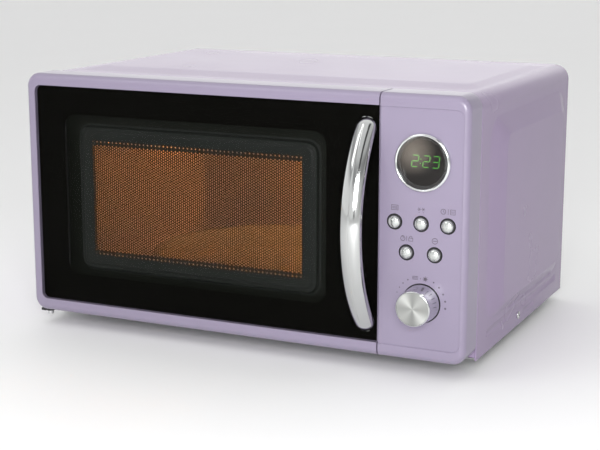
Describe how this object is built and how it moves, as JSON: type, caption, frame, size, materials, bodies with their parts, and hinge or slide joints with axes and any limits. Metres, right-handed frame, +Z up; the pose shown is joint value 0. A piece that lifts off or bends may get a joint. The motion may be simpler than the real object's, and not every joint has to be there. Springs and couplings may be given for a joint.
{
  "type": "microwave oven",
  "caption": "Countertop microwave oven with a side-hinged glass door, bowed bar handle, round display, push buttons, a knob and a glass turntable.",
  "frame": {"origin": "on the resting plane, under the middle of the overall box", "axes": "+X right across the front, +Y towards the back, +Z up; the door faces -Y"},
  "size_m": [0.465, 0.36, 0.252],
  "materials": {
    "lilac_paint": "satin",
    "lilac_plastic": "satin",
    "cavity_enamel": "satin",
    "galvanised_steel": "satin",
    "zinc_screw": "polished",
    "black_rubber": "matte",
    "black_steel": "satin",
    "mica": "matte",
    "magnetron_metal": "satin",
    "laminated_steel": "matte",
    "enamelled_copper": "gloss",
    "aluminium_can": "satin",
    "black_plastic": "matte",
    "grey_plastic": "matte",
    "white_plastic": "satin",
    "lamp_glass": "clear",
    "circuit_board": "satin",
    "chrome": "polished",
    "knob_metal": "spun",
    "button_silver": "metallised",
    "display_glass": "gloss",
    "black_glass": "gloss",
    "clear_glass": "clear",
    "perforated_steel": "satin"
  },
  "bodies": {
    "oven": {"cabinet_cover": "lilac_paint", "base_pan": "galvanised_steel", "rear_panel": "galvanised_steel", "cavity_liner": "cavity_enamel", "front_frame": "lilac_paint", "feet": "black_rubber", "cover_screws": "zinc_screw", "cord_inlet": "black_rubber", "upper_hinge": "black_steel", "lower_hinge": "black_steel", "waveguide": "galvanised_steel", "waveguide_cover": "mica", "magnetron_core": "magnetron_metal", "magnetron_yoke": "galvanised_steel", "transformer_core": "laminated_steel", "transformer_windings": "enamelled_copper", "capacitor": "aluminium_can", "capacitor_clamp": "galvanised_steel", "high_voltage_diode": "black_plastic", "fan_shroud": "grey_plastic", "fan_motor": "laminated_steel", "oven_lamp": "lamp_glass", "lamp_holder": "white_plastic", "turntable_motor": "galvanised_steel", "thermal_cutout": "black_plastic", "line_filter_board": "circuit_board", "interlock_bracket": "white_plastic", "interlock_switches": "black_plastic", "control_panel": "lilac_plastic", "control_board": "circuit_board", "display_module": "black_plastic", "display_bezel": "chrome", "display_lens": "display_glass", "encoder_body": "grey_plastic", "tact_switches": "black_plastic"},
    "door": {"door_frame": "lilac_plastic", "door_glass": "black_glass", "door_screen": "perforated_steel", "door_choke_cover": "black_plastic", "door_inner_window": "clear_glass", "hinge_bushes": "white_plastic", "handle": "chrome", "handle_screws": "zinc_screw", "latch_spring": "zinc_screw"},
    "latch": {"latch_bar": "white_plastic"},
    "upper_left_button": {"button_upper_left": "button_silver"},
    "upper_middle_button": {"button_upper_middle": "button_silver"},
    "upper_right_button": {"button_upper_right": "button_silver"},
    "lower_left_button": {"button_lower_left": "button_silver"},
    "lower_right_button": {"button_lower_right": "button_silver"},
    "dial": {"knob": "knob_metal", "knob_shaft": "zinc_screw"},
    "turntable_drive": {"drive_coupler": "white_plastic", "turntable_shaft": "zinc_screw"},
    "tray": {"glass_tray": "clear_glass"},
    "ring": {"roller_ring": "white_plastic"},
    "rear_roller": {"roller_rear": "white_plastic"},
    "left_roller": {"roller_left": "white_plastic"},
    "right_roller": {"roller_right": "white_plastic"},
    "fan": {"fan_blade": "white_plastic"}
  },
  "joints": [
    {"name": "door_swing", "type": "hinge", "parent": "oven", "child": "door", "pos_m": [-0.214, -0.129, 0.133], "axis": [0, 0, -1], "range_deg": [0, 95]},
    {"name": "latch_slide", "type": "slide", "parent": "door", "child": "latch", "axis": [0, 0, 1], "range_m": [0, 0.004], "stiffness_N_per_m": 400, "springref_m": -0.001, "deforming": ["latch_spring"]},
    {"name": "upper_left_press", "type": "slide", "parent": "oven", "child": "upper_left_button", "axis": [0, 1, 0], "range_m": [0, 0.0012], "stiffness_N_per_m": 500},
    {"name": "upper_middle_press", "type": "slide", "parent": "oven", "child": "upper_middle_button", "axis": [0, 1, 0], "range_m": [0, 0.0012], "stiffness_N_per_m": 500},
    {"name": "upper_right_press", "type": "slide", "parent": "oven", "child": "upper_right_button", "axis": [0, 1, 0], "range_m": [0, 0.0012], "stiffness_N_per_m": 500},
    {"name": "lower_left_press", "type": "slide", "parent": "oven", "child": "lower_left_button", "axis": [0, 1, 0], "range_m": [0, 0.0012], "stiffness_N_per_m": 500},
    {"name": "lower_right_press", "type": "slide", "parent": "oven", "child": "lower_right_button", "axis": [0, 1, 0], "range_m": [0, 0.0012], "stiffness_N_per_m": 500},
    {"name": "dial_turn", "type": "hinge", "parent": "oven", "child": "dial", "pos_m": [0.1848, -0.14, 0.0682], "axis": [0, -1, 0], "continuous": true},
    {"name": "turntable_spin", "type": "hinge", "parent": "oven", "child": "turntable_drive", "pos_m": [-0.045, 0.02885, 0.04], "axis": [0, 0, 1], "continuous": true},
    {"name": "tray_lift", "type": "slide", "parent": "turntable_drive", "child": "tray", "axis": [0, 0, 1], "range_m": [0, 0.06]},
    {"name": "ring_spin", "type": "hinge", "parent": "oven", "child": "ring", "pos_m": [-0.045, 0.02885, 0.0403], "axis": [0, 0, 1], "continuous": true},
    {"name": "rear_roller_spin", "type": "hinge", "parent": "ring", "child": "rear_roller", "pos_m": [-0.045, 0.11085, 0.0403], "axis": [0, 1, 0], "continuous": true},
    {"name": "left_roller_spin", "type": "hinge", "parent": "ring", "child": "left_roller", "pos_m": [-0.11601, -0.01215, 0.0403], "axis": [-0.866, -0.5, 0], "continuous": true},
    {"name": "right_roller_spin", "type": "hinge", "parent": "ring", "child": "right_roller", "pos_m": [0.02601, -0.01215, 0.0403], "axis": [0.866, -0.5, 0], "continuous": true},
    {"name": "fan_spin", "type": "hinge", "parent": "oven", "child": "fan", "pos_m": [0.1655, 0.16, 0.18], "axis": [0, 1, 0], "continuous": true}
  ],
  "couplings": [
    {"joint": "ring_spin", "follows": "turntable_spin", "ratio": 0.5},
    {"joint": "rear_roller_spin", "follows": "turntable_spin", "ratio": -5.125},
    {"joint": "left_roller_spin", "follows": "turntable_spin", "ratio": -5.125},
    {"joint": "right_roller_spin", "follows": "turntable_spin", "ratio": -5.125}
  ]
}
